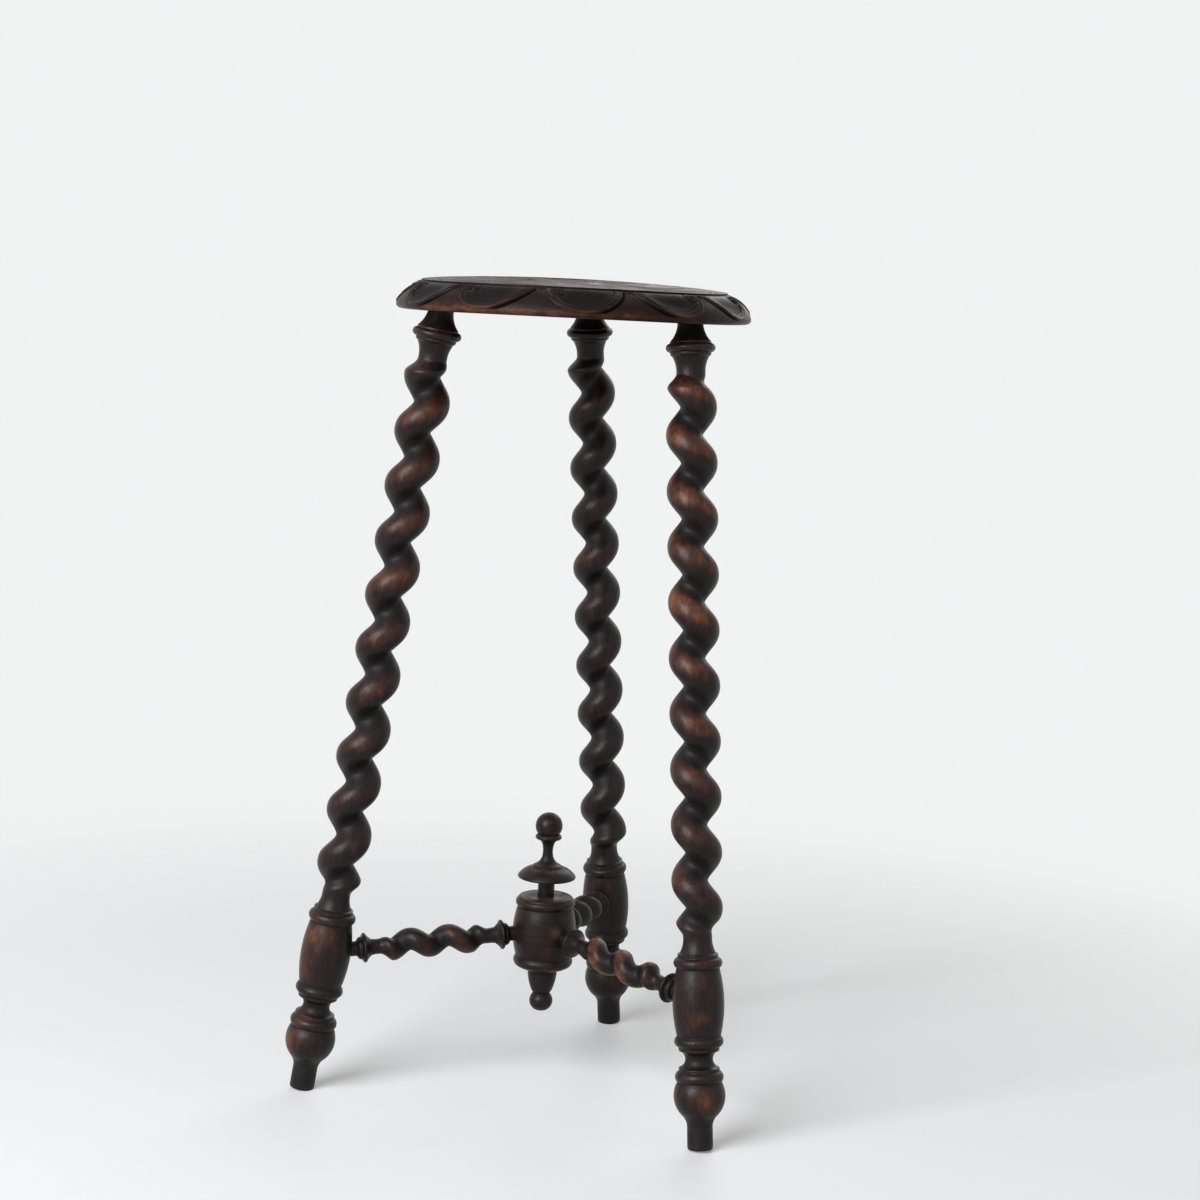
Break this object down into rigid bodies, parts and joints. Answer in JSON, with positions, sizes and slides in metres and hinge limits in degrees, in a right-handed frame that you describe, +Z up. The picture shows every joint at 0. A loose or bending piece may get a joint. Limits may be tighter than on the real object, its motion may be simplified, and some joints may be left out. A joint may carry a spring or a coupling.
{
  "type": "spindle stool",
  "caption": "Tall oak stool with a round carved seat, splayed barley-twist legs and twisted stretchers that meet in a turned hub with a ball finial and a drop.",
  "frame": {"origin": "on the stool's axis at floor level, midway between the three feet", "axes": "+Z up, from the floor to the seat; +Y away from the viewer of the front, +X to that viewer's right"},
  "size_m": [0.3794, 0.3889, 0.71],
  "materials": {
    "seat_oak": "dark waxed oak, carved rim worn paler along its lower edge",
    "leg_oak": "dark waxed oak, crests of the twist worn red-brown",
    "stretcher_oak": "dark waxed oak, worn warmer on the upper side",
    "hub_oak": "dark waxed oak with fine turning lines"
  },
  "bodies": {
    "root": {"seat": "seat_oak", "leg_front": "leg_oak", "leg_back": "leg_oak", "leg_left": "leg_oak", "stretcher_front": "stretcher_oak", "stretcher_back": "stretcher_oak", "stretcher_left": "stretcher_oak", "hub": "hub_oak", "finial": "hub_oak", "pendant": "hub_oak"}
  },
  "joints": []
}
